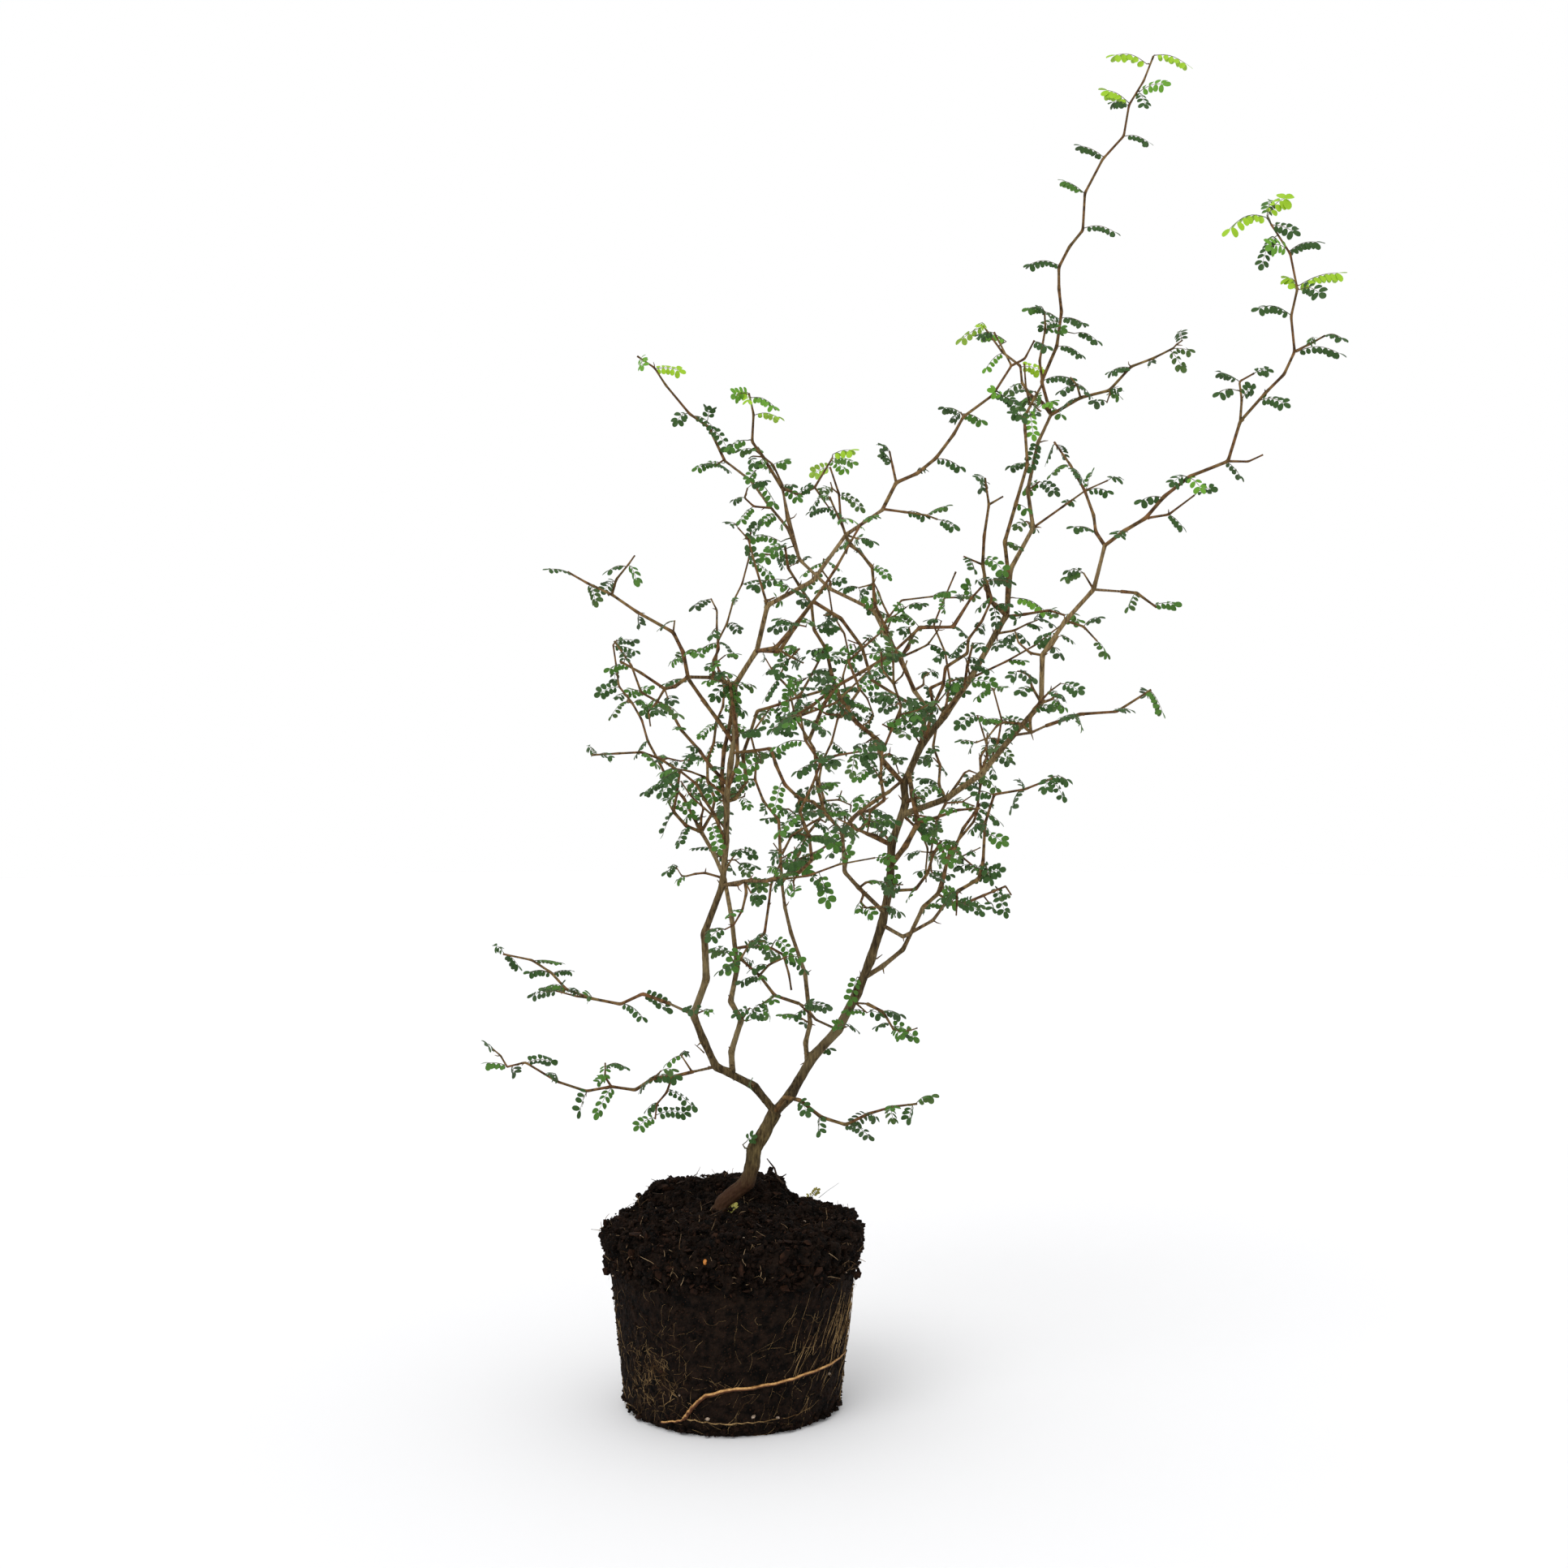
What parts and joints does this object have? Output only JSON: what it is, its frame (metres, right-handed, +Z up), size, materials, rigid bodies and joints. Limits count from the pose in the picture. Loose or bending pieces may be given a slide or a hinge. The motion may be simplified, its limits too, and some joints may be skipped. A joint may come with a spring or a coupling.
{
  "type": "sapling with root ball",
  "caption": "Wiry small-leaved shrub lifted from its pot: zigzag stems with feathery leaves, forking low and leaning right, standing on a tapered cake of compost",
  "frame": {"origin": "Middle of the root ball's flat underside, on the surface that the ball stands on.", "axes": "+Z is up; +X is to the right as the plant is first seen, the way the trunk and the tallest stem lean; -Y is the front, where the pale root shows."},
  "size_m": [0.5032, 0.3718, 0.8428],
  "materials": {
    "compost": "matte",
    "root": "satin",
    "bark": "matte",
    "foliage": "satin"
  },
  "bodies": {
    "root": {"root_ball": "compost", "pale_root": "root", "trunk": "bark", "left_bough": "bark", "low_left_bough": "bark", "mid_left_bough": "bark", "inner_left_bough": "bark", "left_front_bough": "bark", "left_side_bough": "bark", "crossing_bough": "bark", "right_bough": "bark", "centre_bough": "bark", "centre_front_bough": "bark", "right_side_bough": "bark", "right_front_bough": "bark", "low_shoot_bough": "bark", "inner_front_bough": "bark", "inner_back_bough": "bark", "right_leader": "bark", "right_arm": "bark", "right_upper_arm": "bark", "high_left_bough": "bark", "high_middle_bough": "bark", "high_back_bough": "bark", "top_bough": "bark", "low_left_spray": "foliage", "mid_left_spray": "foliage", "low_right_spray": "foliage", "left_outer_spray": "foliage", "left_low_spray": "foliage", "left_back_spray": "foliage", "front_left_spray": "foliage", "left_high_spray": "foliage", "left_side_spray": "foliage", "left_centre_spray": "foliage", "crossing_spray": "foliage", "centre_high_spray": "foliage", "centre_back_spray": "foliage", "low_centre_spray": "foliage", "right_high_spray": "foliage", "right_back_spray": "foliage", "right_low_spray": "foliage", "right_front_spray": "foliage", "inner_high_spray": "foliage", "inner_front_spray": "foliage", "inner_left_spray": "foliage", "inner_back_spray": "foliage", "low_shoot_spray": "foliage", "right_arm_spray": "foliage", "right_edge_spray": "foliage", "right_leader_spray": "foliage", "right_inner_spray": "foliage", "high_left_spray": "foliage", "high_middle_spray": "foliage", "high_inner_spray": "foliage", "high_back_spray": "foliage", "right_middle_spray": "foliage", "top_spray": "foliage", "top_left_spray": "foliage", "top_right_spray": "foliage"}
  },
  "joints": []
}
